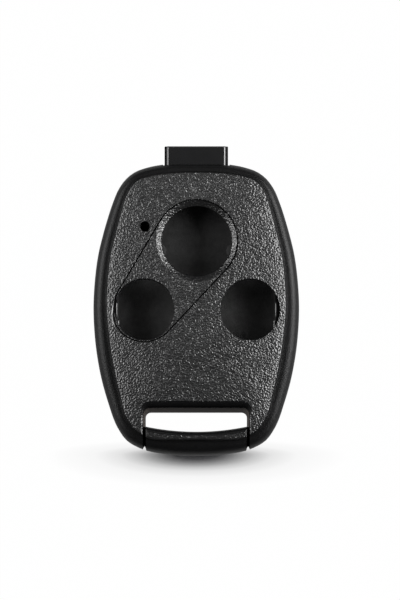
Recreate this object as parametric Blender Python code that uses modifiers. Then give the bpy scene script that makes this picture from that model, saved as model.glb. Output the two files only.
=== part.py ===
"""Shell of a three-button car remote key, empty: two covers, blade holder, inner tray, chip holder.

It lies on its back: +Z is the normal of the button face, +Y runs towards the blade. Shapes are drawn
about the centre of the head, and one empty then moves them so that the origin is under the middle of
the whole shell, on the surface that it lies on.
"""

import math

import bmesh
import bpy
from mathutils import Vector

mm = 0.001

# Head: the rounded body that both covers share
head_width = 38.0 * mm
head_length = 54.0 * mm
parting_height = 6.5 * mm
back_round_width = 3.4 * mm
back_round_height = 4.4 * mm
side_band = 0.9 * mm
rim_width = 2.32 * mm
rim_rise = 3.2 * mm
face_step = 0.7 * mm
face_step_lean = 0.12 * mm
face_edge_round = 0.25 * mm
face_rise = 1.7 * mm

# Walls, seams and clearances
wall = 1.6 * mm
lining_wall = 1.2 * mm
fit_gap = 0.3 * mm
overrun = 2.0 * mm
haunch_width = 1.5 * mm
floor_fillet = 1.6 * mm
lip_height = 0.9 * mm
lip_wall = 0.65 * mm

# Button holes and indicator hole
top_hole_radius = 6.335 * mm
top_hole_up = 12.69 * mm
dish_width = 1.12 * mm
dish_depth = 0.75 * mm
side_hole_radius = 5.5 * mm
side_hole_out = 9.72 * mm
side_hole_up = 0.07 * mm
lamp_hole_radius = 0.89 * mm
lamp_hole_out = 9.45 * mm
lamp_hole_up = 15.39 * mm

# Engraved line round the top hole and the left hole
line_top_radius = 7.6 * mm
line_left_radius = 5.95 * mm
line_width = 0.28 * mm
line_depth = 0.2 * mm

# Key-ring slot and bar
slot_half_width = 9.86 * mm
slot_top_down = 18.09 * mm
slot_corner = 1.3 * mm
slot_lead = 1.0 * mm
back_slot_side_step = 0.46 * mm
back_slot_top_step = 0.94 * mm
back_slot_corner = 1.0 * mm
bar_edge_down = 22.69 * mm
bar_edge_radius = 46.5 * mm
bar_slit = 0.56 * mm
tip_notch_width = 0.9 * mm
tip_notch_depth = 0.8 * mm

# Blade holder: the stub that shows, and what is behind the wall
stub_half_width = 5.86 * mm
stub_thickness = 5.4 * mm
stub_reach = 3.18 * mm
stub_edge_round = 0.4 * mm
flange_overhang = 1.8 * mm
flange_thickness = 1.3 * mm
grip_length = 3.7 * mm
blade_slot_half_width = 4.5 * mm
blade_slot_height = 2.4 * mm
blade_slot_back_wall = 0.8 * mm
clamp_ledge = 0.6 * mm
clamp_sink = 0.2 * mm
clamp_thickness = 0.7 * mm
clamp_screw_out = 2.6 * mm
clamp_shank_radius = 0.7 * mm
clamp_head_radius = 1.2 * mm
clamp_head_height = 0.6 * mm
clamp_head_edge = 0.2 * mm
clamp_tip_radius = 0.25 * mm
cradle_half_width = 4.0 * mm

# Tray under the buttons
tray_rail = 1.0 * mm
tray_floor_height = 6.4 * mm
tray_floor_thickness = 1.2 * mm
tray_rail_clearance = 0.4 * mm
rail_pad_thickness = 0.45 * mm
rail_pad_down = 1.76 * mm
floor_pad_width = 3.45 * mm
floor_pad_height = 0.25 * mm
post_radius = 1.32 * mm
post_out = 6.87 * mm
post_up = 10.87 * mm
post_height = 2.2 * mm

# Chip holder
chip_length = 11.0 * mm
chip_thickness = 3.2 * mm
chip_height = 5.8 * mm
chip_play = 0.1 * mm
chip_wall = 0.4 * mm
fence_thickness = 0.8 * mm
fence_height = 1.8 * mm

# Cover screw
screw_shank_radius = 0.9 * mm
screw_head_radius = 1.75 * mm
screw_head_height = 1.2 * mm
screw_head_edge = 0.4 * mm
screw_head_sunk = 0.35 * mm
screw_tip_radius = 0.3 * mm
screw_tip_length = 1.0 * mm
screw_length = 8.9 * mm
boss_wall = 0.8 * mm
boss_low_height = 4.0 * mm
boss_slot_gap = 0.4 * mm
pillar_wall = 0.7 * mm
cross_width = 0.45 * mm
cross_reach_share = 0.65
cross_depth = 0.7 * mm

# Outlines: right half, from the top centre to the bottom centre, as shares of the half width
# and half length of the head
head_outline_shares = [
    (0.0, 1.0), (0.31, 0.995), (0.486, 0.971), (0.591, 0.944), (0.691, 0.889), (0.748, 0.834),
    (0.815, 0.725), (0.866, 0.615), (0.910, 0.506), (0.948, 0.396), (0.982, 0.232), (1.0, 0.012),
    (0.984, -0.207), (0.937, -0.426), (0.853, -0.645), (0.763, -0.810), (0.681, -0.892),
    (0.551, -0.947), (0.263, -0.991), (0.0, -1.0),
]
# Width of the smooth rim: shares of the half turn from the top, and shares of rim_width
rim_width_shares = [
    (0.0, 0.67), (0.11, 0.53), (0.19, 0.86), (0.33, 0.935), (0.5, 1.0), (0.61, 1.095),
    (0.75, 1.086), (0.817, 0.98), (0.89, 1.16), (1.0, 1.28),
]
floor_knee_share = 0.3
face_ring_shares = [0.86, 0.7, 0.54, 0.38, 0.22, 0.08]
ceiling_ring_shares = [0.75, 0.5, 0.25]

# Facets
ring_sides = 96
arc_steps = 5
hole_sides = 48
small_sides = 20
line_steps = 16
search_steps = 40
angle_step = 0.001
weld_distance = 0.001 * mm

# Heights and places that follow from the sizes above
half_gap = fit_gap / 2
shoulder_height = parting_height + side_band
foot_height = shoulder_height + rim_rise
face_edge_height = foot_height + face_step
crown_height = face_edge_height + face_rise
ceiling_height = face_edge_height - wall
haunch_height = foot_height - wall
cavity_inset = wall + haunch_width
floor_knee = floor_fillet * floor_knee_share
head_top = head_length / 2
bar_slit_edge = slot_half_width - bar_slit
back_slot_half_width = slot_half_width - back_slot_side_step
back_slot_top = -slot_top_down - back_slot_top_step
lining_half_width = slot_half_width + lining_wall
lining_top = -slot_top_down + lining_wall
boss_bore = screw_shank_radius + fit_gap
boss_radius = boss_bore + boss_wall
screw_up = lining_top + boss_slot_gap + boss_radius
counterbore_radius = screw_head_radius + fit_gap
pillar_radius = counterbore_radius + pillar_wall
seat_height = screw_head_sunk + screw_head_height + fit_gap
flange_half_width = stub_half_width + flange_overhang
stub_low = parting_height - stub_thickness / 2
stub_top = parting_height + stub_thickness / 2
slot_floor = parting_height - blade_slot_height / 2
slot_ceiling = parting_height + blade_slot_height / 2
ledge_height = slot_ceiling - clamp_sink
clamp_low = ledge_height + fit_gap
clamp_top = clamp_low + clamp_thickness
clamp_half_width = blade_slot_half_width + clamp_ledge - fit_gap
tray_inset = cavity_inset + fit_gap
tray_height = haunch_height + tray_rail_clearance
chip_holder_length = chip_length + (chip_play + chip_wall) * 2
chip_holder_width = chip_thickness + (chip_play + chip_wall) * 2
chip_holder_low_edge = screw_up + pillar_radius + fit_gap
chip_holder_top_edge = chip_holder_low_edge + chip_holder_width
tray_low_edge = chip_holder_top_edge + fit_gap
chip_holder_low = wall + fit_gap
chip_holder_top = chip_holder_low + chip_wall + chip_height


def clear_scene():
    for obj in list(bpy.data.objects):
        bpy.data.objects.remove(obj)


def plastic(name, colour, roughness, metallic=0.0):
    material = bpy.data.materials.new(name)
    material.use_nodes = True
    shader = material.node_tree.nodes["Principled BSDF"]
    shader.inputs["Base Color"].default_value = (*colour, 1.0)
    shader.inputs["Roughness"].default_value = roughness
    shader.inputs["Metallic"].default_value = metallic
    return material


def through_points(table, at):
    """Value at a position of a smooth curve through (position, value) pairs, mirrored at both ends."""
    first, last = table[0], table[-1]
    before = (2 * first[0] - table[1][0], table[1][1])
    after = (2 * last[0] - table[-2][0], table[-2][1])
    points = [before, *table, after]
    k = 1
    while k < len(points) - 3 and at > points[k + 1][0]:
        k += 1
    spans = [points[k + n + 1][0] - points[k + n][0] for n in (-1, 0, 1)]
    slopes = [(points[k + n + 1][1] - points[k + n][1]) / spans[n + 1] for n in (-1, 0, 1)]
    start = (slopes[0] * spans[1] + slopes[1] * spans[0]) / (spans[0] + spans[1])
    end = (slopes[1] * spans[2] + slopes[2] * spans[1]) / (spans[1] + spans[2])
    t = (at - points[k][0]) / spans[1]
    rest = 1 - t
    return (
        points[k][1] * (1 + 2 * t) * rest * rest
        + start * spans[1] * t * rest * rest
        + points[k + 1][1] * t * t * (1 + 2 * rest)
        - end * spans[1] * t * t * rest
    )


def outline_table():
    points = [(x * head_width / 2, y * head_length / 2) for x, y in head_outline_shares]
    return [(math.atan2(x, y), math.hypot(x, y)) for x, y in points]


head_table = outline_table()
rim_table = [(turn * math.pi, share * rim_width) for turn, share in rim_width_shares]


def folded(angle):
    """Angle from +Y brought into the half turn that the tables cover."""
    angle = abs(math.remainder(angle, math.tau))
    return min(angle, math.pi)


def head_radius(angle):
    return through_points(head_table, folded(angle))


def ray_stretch(angle):
    """How much longer a step along the ray is than the same step square to the outline."""
    turn = folded(angle)
    change = head_radius(turn + angle_step) - head_radius(turn - angle_step)
    return math.hypot(1, change / (2 * angle_step * head_radius(turn)))


def inset_radius(angle, inset):
    return head_radius(angle) - inset * ray_stretch(angle)


def face_radius(angle):
    return inset_radius(angle, through_points(rim_table, folded(angle)) + face_step_lean)


def face_height(x, y):
    share = math.hypot(x, y) / face_radius(math.atan2(x, y))
    return face_edge_height + face_rise * (1 - share * share)


def outline_at(x, end):
    """Y of the outline at x, at its upper (end = 0) or lower (end = half turn) side."""
    side, middle = math.pi / 2, end
    for _ in range(search_steps):
        angle = (side + middle) / 2
        if head_radius(angle) * math.sin(angle) > abs(x):
            side = angle
        else:
            middle = angle
    return head_radius(middle) * math.cos(middle)


def side_at(y):
    """X of the outline at y, on its right side."""
    upper, lower = 0, math.pi
    for _ in range(search_steps):
        angle = (upper + lower) / 2
        if head_radius(angle) * math.cos(angle) > y:
            upper = angle
        else:
            lower = angle
    return head_radius(lower) * math.sin(lower)


def inside_top_wall(x):
    """Y just inside the top wall at x, with clearance."""
    edge = outline_at(x, 0)
    return edge - wall * ray_stretch(math.atan2(x, edge)) - fit_gap


flange_front = inside_top_wall(flange_half_width)
flange_back = flange_front - flange_thickness
grip_back = flange_back - grip_length
clamp_up = (grip_back + blade_slot_back_wall + flange_back) / 2
tray_top_up = grip_back - fit_gap
chip_holder_end = side_at(chip_holder_low_edge) - wall - floor_fillet
chip_holder_start = chip_holder_end - chip_holder_length


def ring(radius_at, height):
    """One closed ring round the head, anticlockwise from above."""
    angles = [-math.tau * k / ring_sides for k in range(ring_sides)]
    radii = [radius_at(a) for a in angles]
    return [Vector((r * math.sin(a), r * math.cos(a), height)) for r, a in zip(radii, angles)]


def inset_ring(inset, height, rim_share=0.0):
    def radius_at(angle):
        rim = through_points(rim_table, folded(angle))
        return inset_radius(angle, inset + rim_share * rim)

    return ring(radius_at, height)


def quarter_turns():
    return [math.pi / 2 * k / arc_steps for k in range(1, arc_steps)]


def back_rings():
    """Outer form from the flat back up to where the side is straight."""
    rings = [inset_ring(back_round_width, 0)]
    for turn in reversed(quarter_turns()):
        inset = back_round_width * (1 - math.cos(turn))
        rings.append(inset_ring(inset, back_round_height * (1 - math.sin(turn))))
    rings.append(inset_ring(0, back_round_height))
    return rings


def face_rings():
    """Outer form from the shoulder over the rounded rim and up the domed face."""
    rings = [inset_ring(0, shoulder_height)]
    for turn in quarter_turns():
        height = shoulder_height + rim_rise * math.sin(turn)
        rings.append(inset_ring(0, height, rim_share=1 - math.cos(turn)))
    rings.append(inset_ring(0, foot_height, rim_share=1))
    rings.append(inset_ring(face_step_lean, face_edge_height - face_edge_round, rim_share=1))
    for share in (1 - face_edge_round / (head_width / 2), *face_ring_shares):
        height = face_edge_height + face_rise * (1 - share * share)
        rings.append(ring(lambda a, s=share: face_radius(a) * s, height))
    return rings


def link(obj, collection):
    collection.objects.link(obj)
    obj.parent = shell_origin
    return obj


def loft(name, rings, collection):
    """Closed solid skinned over a stack of rings, the lowest first, with a flat face at each end."""
    bm = bmesh.new()
    loops = [[bm.verts.new(point) for point in points] for points in rings]
    for lower, upper in zip(loops, loops[1:]):
        for k in range(ring_sides):
            n = (k + 1) % ring_sides
            bm.faces.new((lower[k], lower[n], upper[n], upper[k]))
    bm.faces.new(list(reversed(loops[0])))
    bm.faces.new(loops[-1])
    bmesh.ops.recalc_face_normals(bm, faces=bm.faces[:])
    return mesh_object(name, bm, collection)


def mesh_object(name, bm, collection):
    mesh = bpy.data.meshes.new(name)
    bm.to_mesh(mesh)
    bm.free()
    return link(bpy.data.objects.new(name, mesh), collection)


def box(name, low, high, collection):
    """Box between two corners, as a primitive cube with its scale applied in the mesh."""
    low, high = Vector(low), Vector(high)
    bm = bmesh.new()
    bmesh.ops.create_cube(bm, size=1.0)
    bmesh.ops.scale(bm, vec=high - low, verts=bm.verts[:])
    bmesh.ops.translate(bm, vec=(low + high) / 2, verts=bm.verts[:])
    return mesh_object(name, bm, collection)


def rod(name, x, y, low, high, radius, collection, top_radius=None, sides=small_sides):
    """Upright cylinder, or cone where the top has a radius of its own."""
    bm = bmesh.new()
    bmesh.ops.create_cone(
        bm,
        cap_ends=True,
        segments=sides,
        radius1=radius,
        radius2=radius if top_radius is None else top_radius,
        depth=high - low,
    )
    bmesh.ops.translate(bm, vec=(x, y, (low + high) / 2), verts=bm.verts[:])
    return mesh_object(name, bm, collection)


def mesh_from_curve(name, curve, collection, lift=0.0):
    """Closed mesh of the curve, its caps welded on, raised by the lift."""
    guide = bpy.data.objects.new(name + "_guide", curve)
    cutters.objects.link(guide)
    bpy.context.view_layer.update()
    graph = bpy.context.evaluated_depsgraph_get()
    mesh = bpy.data.meshes.new_from_object(guide.evaluated_get(graph))
    bpy.data.objects.remove(guide)
    bm = bmesh.new()
    bm.from_mesh(mesh)
    bpy.data.meshes.remove(mesh)
    bmesh.ops.remove_doubles(bm, verts=bm.verts[:], dist=weld_distance)
    bmesh.ops.translate(bm, vec=(0, 0, lift), verts=bm.verts[:])
    bmesh.ops.recalc_face_normals(bm, faces=bm.faces[:])
    return mesh_object(name, bm, collection)


def flat_prism(name, points, low, high, collection):
    """Filled flat curve through the points, extruded between two heights and made a mesh."""
    curve = bpy.data.curves.new(name + "_curve", "CURVE")
    curve.dimensions = "2D"
    curve.fill_mode = "BOTH"
    curve.extrude = (high - low) / 2
    spline = curve.splines.new("POLY")
    spline.points.add(len(points) - 1)
    for point, (x, y) in zip(spline.points, points):
        point.co = (x, y, 0, 1)
    spline.use_cyclic_u = True
    return mesh_from_curve(name, curve, collection, lift=(low + high) / 2)


def apply_boolean(target, tool, operation="DIFFERENCE"):
    modifier = target.modifiers.new(tool.name, "BOOLEAN")
    modifier.operation = operation
    modifier.object = tool


def cut(target, *tools):
    for tool in tools:
        apply_boolean(target, tool)


def join(target, *tools):
    for tool in tools:
        apply_boolean(target, tool, "UNION")


def keep_common(target, *tools):
    for tool in tools:
        apply_boolean(target, tool, "INTERSECT")


def rounded_top(half_width, top, corner, low_points):
    """Outline of a slot whose two upper corners are round, closed below by the given points."""
    points = []
    for side, first in ((1, 0.0), (-1, math.pi / 2)):
        for k in range(arc_steps + 1):
            turn = first + math.pi / 2 * k / arc_steps
            x = side * (half_width - corner) + corner * math.cos(turn)
            points.append((x, top - corner + corner * math.sin(turn)))
    return points + low_points


def bar_edge(x):
    """Upper edge of the key-ring bar: an arc that is lowest in the middle."""
    sag = bar_edge_radius - math.sqrt(bar_edge_radius * bar_edge_radius - x * x)
    return -bar_edge_down + sag


def bar_edge_points(half_width):
    steps = 2 * arc_steps
    places = [half_width * (2 * k / steps - 1) for k in range(steps + 1)]
    return [(x, bar_edge(x)) for x in places]


def slot_block(name, low, high, room=0.0):
    """All that the lining of the slot takes up, down past the lower outline."""
    half_width = lining_half_width + room
    top = lining_top + room
    return box(name, (-half_width, -head_length, low), (half_width, top, high), cutters)


def front_slot():
    below = -head_length
    points = rounded_top(
        slot_half_width,
        -slot_top_down,
        slot_corner,
        [(-slot_half_width, below), (slot_half_width, below)],
    )
    return flat_prism("front_slot", points, 0, crown_height + overrun, cutters)


def back_slot():
    low_points = bar_edge_points(back_slot_half_width)
    points = rounded_top(back_slot_half_width, back_slot_top, back_slot_corner, low_points)
    return flat_prism("back_slot", points, -overrun, crown_height + overrun, cutters)


def slot_lead_cutter():
    """Square bar turned by half a right angle, that slopes the face down into the top of the slot."""
    out = slot_lead * math.sqrt(0.5) - slot_lead / 2
    y = -slot_top_down
    cutter = box(
        "slot_lead_cutter",
        (-slot_half_width, -slot_lead, -slot_lead),
        (slot_half_width, slot_lead, slot_lead),
        cutters,
    )
    cutter.location = (0, y - out, face_height(0, y) + out)
    cutter.rotation_euler = (math.pi / 4, 0, 0)
    return cutter


def button_hole(name, x, y, radius):
    low, high = parting_height, crown_height + overrun
    return rod(name, x, y, low, high, radius, cutters, sides=hole_sides)


def dish_cutter():
    """Wide cone that turns the edge of the top hole into a sloping ring, square to the dome there."""
    above = face_height(0, top_hole_up + top_hole_radius)
    below = face_height(0, top_hole_up - top_hole_radius)
    slope = (above - below) / (2 * top_hole_radius)
    cutter = rod(
        "dish_cutter",
        0,
        0,
        -dish_depth,
        dish_depth,
        top_hole_radius,
        cutters,
        top_radius=top_hole_radius + 2 * dish_width,
        sides=hole_sides,
    )
    cutter.location = (0, top_hole_up, face_height(0, top_hole_up))
    cutter.rotation_euler = (math.atan(slope), 0, 0)
    return cutter


def line_route():
    """Closed route of the engraved line: an arc round each hole and the two tangents between."""
    top = Vector((0, top_hole_up))
    left = Vector((-side_hole_out, side_hole_up))
    along = left - top
    heading = math.atan2(along.y, along.x)
    spread = math.acos((line_top_radius - line_left_radius) / along.length)
    route = []
    for k in range(line_steps + 1):
        turn = heading + spread + (math.tau - 2 * spread) * k / line_steps
        route.append(top + line_top_radius * Vector((math.cos(turn), math.sin(turn))))
    for k in range(line_steps + 1):
        turn = heading - spread + 2 * spread * k / line_steps
        route.append(left + line_left_radius * Vector((math.cos(turn), math.sin(turn))))
    return route


def dense(route):
    """The route with a point added in each long straight stretch, so that it follows the dome."""
    longest = line_top_radius / 2
    points = []
    for k, start in enumerate(route):
        end = route[(k + 1) % len(route)]
        pieces = max(1, math.ceil((end - start).length / longest))
        points += [start.lerp(end, n / pieces) for n in range(pieces)]
    return points


def line_cutter():
    """Wire along the route, sunk into the face by the depth of the line."""
    curve = bpy.data.curves.new("line_curve", "CURVE")
    curve.dimensions = "3D"
    curve.bevel_depth = line_width / 2
    curve.bevel_resolution = 0
    route = dense(line_route())
    spline = curve.splines.new("POLY")
    spline.points.add(len(route) - 1)
    for point, place in zip(spline.points, route):
        height = face_height(place.x, place.y) + line_width / 2 - line_depth
        point.co = (place.x, place.y, height, 1)
    spline.use_cyclic_u = True
    return mesh_from_curve("line_cutter", curve, cutters)


def stub_window(name, low, high):
    """Hole in the top wall for the stub, with clearance, between two heights."""
    half_width = stub_half_width + fit_gap
    start = head_top - cavity_inset - fit_gap
    return box(name, (-half_width, start, low), (half_width, head_length, high), cutters)


def make_front_cover():
    low = parting_height + half_gap
    cover = loft("front_cover", [inset_ring(0, low), *face_rings()], parts)

    lip_room_top = low + lip_height + half_gap
    rings = [
        inset_ring(lip_wall, low - overrun),
        inset_ring(lip_wall, lip_room_top),
        inset_ring(wall, lip_room_top),
        inset_ring(wall, shoulder_height + fit_gap),
        inset_ring(cavity_inset, haunch_height),
        inset_ring(cavity_inset, ceiling_height),
    ]
    for share in ceiling_ring_shares:
        height = ceiling_height + face_rise * (1 - share * share)
        rings.append(ring(lambda a, s=share: inset_radius(a, cavity_inset) * s, height))
    cavity = loft("front_cavity", rings, cutters)
    cut(cavity, slot_block("front_lining", 0, crown_height))
    cut(cover, cavity)

    boss_top = face_height(0, screw_up) - wall / 2
    join(cover, rod("boss", 0, screw_up, boss_low_height, boss_top, boss_radius, cutters))
    low, high = boss_low_height - overrun, boss_top - wall
    cut(cover, rod("boss_hole", 0, screw_up, low, high, boss_bore, cutters))

    cut(cover, front_slot(), slot_lead_cutter())
    cut(cover, button_hole("top_hole", 0, top_hole_up, top_hole_radius), dish_cutter())
    for side, name in ((-1, "left_hole"), (1, "right_hole")):
        x = side * side_hole_out
        cut(cover, button_hole(name, x, side_hole_up, side_hole_radius))
    low, high = parting_height, crown_height + overrun
    x, y = -lamp_hole_out, lamp_hole_up
    cut(cover, rod("lamp_hole", x, y, low, high, lamp_hole_radius, cutters))
    cut(cover, line_cutter(), stub_window("front_window", 0, stub_top + fit_gap))
    return cover


def make_rear_cover():
    cover = loft("rear_cover", back_rings() + face_rings(), parts)
    top = parting_height - half_gap
    bar_points = bar_edge_points(bar_slit_edge)
    below = -head_length
    bar_points += [(bar_slit_edge, below), (-bar_slit_edge, below)]
    bar = flat_prism("bar_outline", bar_points, -overrun, crown_height + overrun, cutters)
    lip = loft(
        "lip_outline",
        [inset_ring(lip_wall + fit_gap, 0), inset_ring(lip_wall + fit_gap, top + lip_height)],
        cutters,
    )
    lip_room = slot_block("lip_room", -overrun, crown_height + overrun, room=fit_gap)
    cut(lip, lip_room)
    above = box(
        "above_parting",
        (-head_length, -head_length, top),
        (head_length, head_length, crown_height + overrun),
        cutters,
    )
    cut(above, bar, lip)
    cut(cover, above)

    rings = [
        inset_ring(wall + floor_fillet, wall),
        inset_ring(wall + floor_knee, wall + floor_knee),
        inset_ring(wall, wall + floor_fillet),
        inset_ring(wall, crown_height),
    ]
    cavity = loft("rear_cavity", rings, cutters)
    cut(cavity, slot_block("rear_collar", 0, crown_height + overrun))
    cut(cover, cavity)
    cut(cover, back_slot())
    cut(cover, stub_window("rear_window", stub_low - fit_gap, crown_height))

    for side, name in ((-1, "left_tip_notch"), (1, "right_tip_notch")):
        x = side * (slot_half_width - bar_slit / 2)
        y = outline_at(x, math.pi)
        half = tip_notch_width / 2
        below = y - overrun
        points = [(x - half, below), (x + half, below), (x + half, y), (x, y + tip_notch_depth)]
        points.append((x - half, y))
        cut(cover, flat_prism(name, points, -overrun, crown_height + overrun, cutters))

    pillar_top = boss_low_height - fit_gap
    pillar_low = wall / 2
    join(cover, rod("pillar", 0, screw_up, pillar_low, pillar_top, pillar_radius, cutters))
    cut(cover, rod("counterbore", 0, screw_up, -overrun, seat_height, counterbore_radius, cutters))
    cut(cover, rod("screw_hole", 0, screw_up, -overrun, crown_height, boss_bore, cutters))

    cradle_top = stub_low - fit_gap
    cradle_back = grip_back + blade_slot_back_wall
    join(
        cover,
        box(
            "cradle",
            (-cradle_half_width, cradle_back, wall / 2),
            (cradle_half_width, flange_back - fit_gap, cradle_top),
            cutters,
        ),
    )
    fence_top = wall + fence_height
    end = chip_holder_start - fit_gap
    side_low = chip_holder_low_edge - fit_gap
    join(
        cover,
        box(
            "end_fence",
            (end - fence_thickness, chip_holder_low_edge, wall / 2),
            (end, chip_holder_top_edge, fence_top),
            cutters,
        ),
        box(
            "side_fence",
            (chip_holder_start + chip_thickness, side_low - fence_thickness, wall / 2),
            (chip_holder_end - chip_thickness, side_low, fence_top),
            cutters,
        ),
    )
    return cover


def make_blade_holder():
    end = head_top + stub_reach
    half = stub_half_width
    holder = box("blade_holder", (-half, grip_back, stub_low), (half, end, stub_top), parts)
    bevel = holder.modifiers.new("rounded_edges", "BEVEL")
    bevel.width = stub_edge_round
    bevel.segments = 2
    flange = box(
        "flange",
        (-flange_half_width, flange_back, wall + floor_knee + fit_gap),
        (flange_half_width, flange_front, shoulder_height),
        cutters,
    )
    join(holder, flange)
    back = grip_back + blade_slot_back_wall
    half = blade_slot_half_width
    slot = box("blade_slot", (-half, back, slot_floor), (half, end + overrun, slot_ceiling), cutters)
    ledge = blade_slot_half_width + clamp_ledge
    pocket = box(
        "clamp_pocket",
        (-ledge, back, ledge_height),
        (ledge, flange_back - fit_gap, stub_top + overrun),
        cutters,
    )
    opening = box(
        "clamp_opening",
        (-half, back, parting_height),
        (half, flange_back - fit_gap, stub_top + overrun),
        cutters,
    )
    cut(holder, slot, pocket, opening)
    for side, name in ((-1, "left_clamp_hole"), (1, "right_clamp_hole")):
        x = side * clamp_screw_out
        radius = clamp_shank_radius + fit_gap
        cut(holder, rod(name, x, clamp_up, 0, parting_height, radius, cutters))
    return holder


def make_blade_clamp():
    low = grip_back + blade_slot_back_wall + fit_gap
    high = flange_back - 2 * fit_gap
    half = clamp_half_width
    plate = box("blade_clamp", (-half, low, clamp_low), (half, high, clamp_top), parts)
    for side, name in ((-1, "left_plate_hole"), (1, "right_plate_hole")):
        x = side * clamp_screw_out
        radius = clamp_shank_radius + fit_gap
        cut(plate, rod(name, x, clamp_up, 0, crown_height, radius, cutters))
    return plate


def turned(name, profile, x, y, collection):
    """Solid of revolution: (radius, height) points from the top of the axis to its foot."""
    bm = bmesh.new()
    verts = [bm.verts.new((radius, 0, height)) for radius, height in profile]
    for start, end in zip(verts, verts[1:]):
        bm.edges.new((start, end))
    obj = mesh_object(name, bm, collection)
    obj.location = (x, y, 0)
    screw = obj.modifiers.new("turning", "SCREW")
    screw.steps = small_sides
    screw.render_steps = small_sides
    screw.use_merge_vertices = True
    screw.merge_threshold = weld_distance
    return obj


def cross_cutters(name, low, high, radius):
    """Two crossed bars for the recess of a screw head."""
    half = cross_width / 2
    across = box(name + "_across", (-radius, -half, low), (radius, half, high), cutters)
    along = box(name + "_along", (-half, -radius, low), (half, radius, high), cutters)
    return across, along


def make_clamp_screw(name, side):
    head_low = clamp_top + fit_gap
    head_top_height = head_low + clamp_head_height
    tip = stub_low + fit_gap
    profile = [
        (0, head_top_height),
        (clamp_head_radius - clamp_head_edge, head_top_height),
        (clamp_head_radius, head_top_height - clamp_head_edge),
        (clamp_head_radius, head_low),
        (clamp_shank_radius, head_low),
        (clamp_shank_radius, tip + clamp_shank_radius),
        (clamp_tip_radius, tip),
        (0, tip),
    ]
    screw = turned(name, profile, side * clamp_screw_out, clamp_up, parts)
    low, high = head_top_height - clamp_head_height / 2, head_top_height + overrun
    reach = clamp_head_radius * cross_reach_share
    for cutter in cross_cutters(name + "_cross", low, high, reach):
        cutter.location = screw.location
        cut(screw, cutter)
    return screw


def make_cover_screw():
    head_low = screw_head_sunk
    head_high = head_low + screw_head_height
    tip = head_low + screw_length
    profile = [
        (0, tip),
        (screw_tip_radius, tip),
        (screw_shank_radius, tip - screw_tip_length),
        (screw_shank_radius, head_high),
        (screw_head_radius, head_high),
        (screw_head_radius, head_low + screw_head_edge),
        (screw_head_radius - screw_head_edge, head_low),
        (0, head_low),
    ]
    screw = turned("cover_screw", profile, 0, screw_up, parts)
    low, high = -overrun, head_low + cross_depth
    reach = screw_head_radius * cross_reach_share
    for cutter in cross_cutters("cover_cross", low, high, reach):
        cutter.location = screw.location
        cut(screw, cutter)
    return screw


def across_head(name, low_y, high_y, low, high):
    corner = (-head_width, low_y, low)
    return box(name, corner, (head_width, high_y, high), cutters)


def make_remote_tray():
    low = wall + fit_gap
    rings = [inset_ring(tray_inset, low), inset_ring(tray_inset, tray_height)]
    tray = loft("remote_tray", rings, parts)
    keep_common(tray, across_head("tray_span", tray_low_edge, tray_top_up, 0, crown_height))

    inner = tray_inset + tray_rail
    rings = [inset_ring(inner, tray_floor_height), inset_ring(inner, tray_height + overrun)]
    upper = loft("tray_upper_room", rings, cutters)
    under = tray_floor_height - tray_floor_thickness
    rings = [inset_ring(inner, 0), inset_ring(inner, under)]
    cut(tray, upper, loft("tray_lower_room", rings, cutters))

    inner_edge = head_radius(math.pi / 2) - inner - rail_pad_thickness
    outer_edge = inner_edge + rail_pad_thickness * 2
    for side, name in ((-1, "left_rail_pad"), (1, "right_rail_pad")):
        xs = sorted((side * inner_edge, side * outer_edge))
        low_corner = (xs[0], tray_low_edge, under)
        join(tray, box(name, low_corner, (xs[1], -rail_pad_down, tray_height), cutters))
    floor_pad = box(
        "floor_pad",
        (inner_edge - floor_pad_width, tray_low_edge, under),
        (inner_edge + rail_pad_thickness / 2, -rail_pad_down, tray_floor_height + floor_pad_height),
        cutters,
    )
    join(tray, floor_pad)
    for side, name in ((-1, "left_post"), (1, "right_post")):
        high = tray_floor_height + post_height
        join(tray, rod(name, side * post_out, post_up, under, high, post_radius, cutters))
    return tray


def make_chip_holder():
    low_corner = (chip_holder_start, chip_holder_low_edge, chip_holder_low)
    high_corner = (chip_holder_end, chip_holder_top_edge, chip_holder_top)
    holder = box("chip_holder", low_corner, high_corner, parts)
    pocket = box(
        "chip_pocket",
        Vector(low_corner) + Vector((chip_wall, chip_wall, chip_wall)),
        Vector(high_corner) + Vector((-chip_wall, -chip_wall, overrun)),
        cutters,
    )
    cut(holder, pocket)
    return holder


clear_scene()
parts = bpy.data.collections.new("car_key_shell")
cutters = bpy.data.collections.new("cutters")
for group in (parts, cutters):
    bpy.context.scene.collection.children.link(group)

shell_origin = bpy.data.objects.new("shell_origin", None)
shell_origin.location = (0, -stub_reach / 2, 0)
parts.objects.link(shell_origin)

cover_black = plastic("cover_black", (0.02, 0.02, 0.021), 0.5)
stub_black = plastic("stub_black", (0.015, 0.015, 0.016), 0.15)
tray_black = plastic("tray_black", (0.012, 0.012, 0.012), 0.6)
plate_steel = plastic("plate_steel", (0.55, 0.55, 0.56), 0.4, 1.0)
screw_steel = plastic("screw_steel", (0.5, 0.5, 0.52), 0.3, 1.0)

finishes = [
    (make_front_cover(), cover_black),
    (make_rear_cover(), cover_black),
    (make_blade_holder(), stub_black),
    (make_blade_clamp(), plate_steel),
    (make_clamp_screw("clamp_screw_left", -1), screw_steel),
    (make_clamp_screw("clamp_screw_right", 1), screw_steel),
    (make_remote_tray(), tray_black),
    (make_chip_holder(), tray_black),
    (make_cover_screw(), screw_steel),
]
for piece, finish in finishes:
    piece.data.materials.append(finish)
for cutter in cutters.objects:
    cutter.hide_render = True
    cutter.display_type = "WIRE"
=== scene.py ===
import math

import bmesh
import bpy
from mathutils import Matrix, Vector


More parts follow.
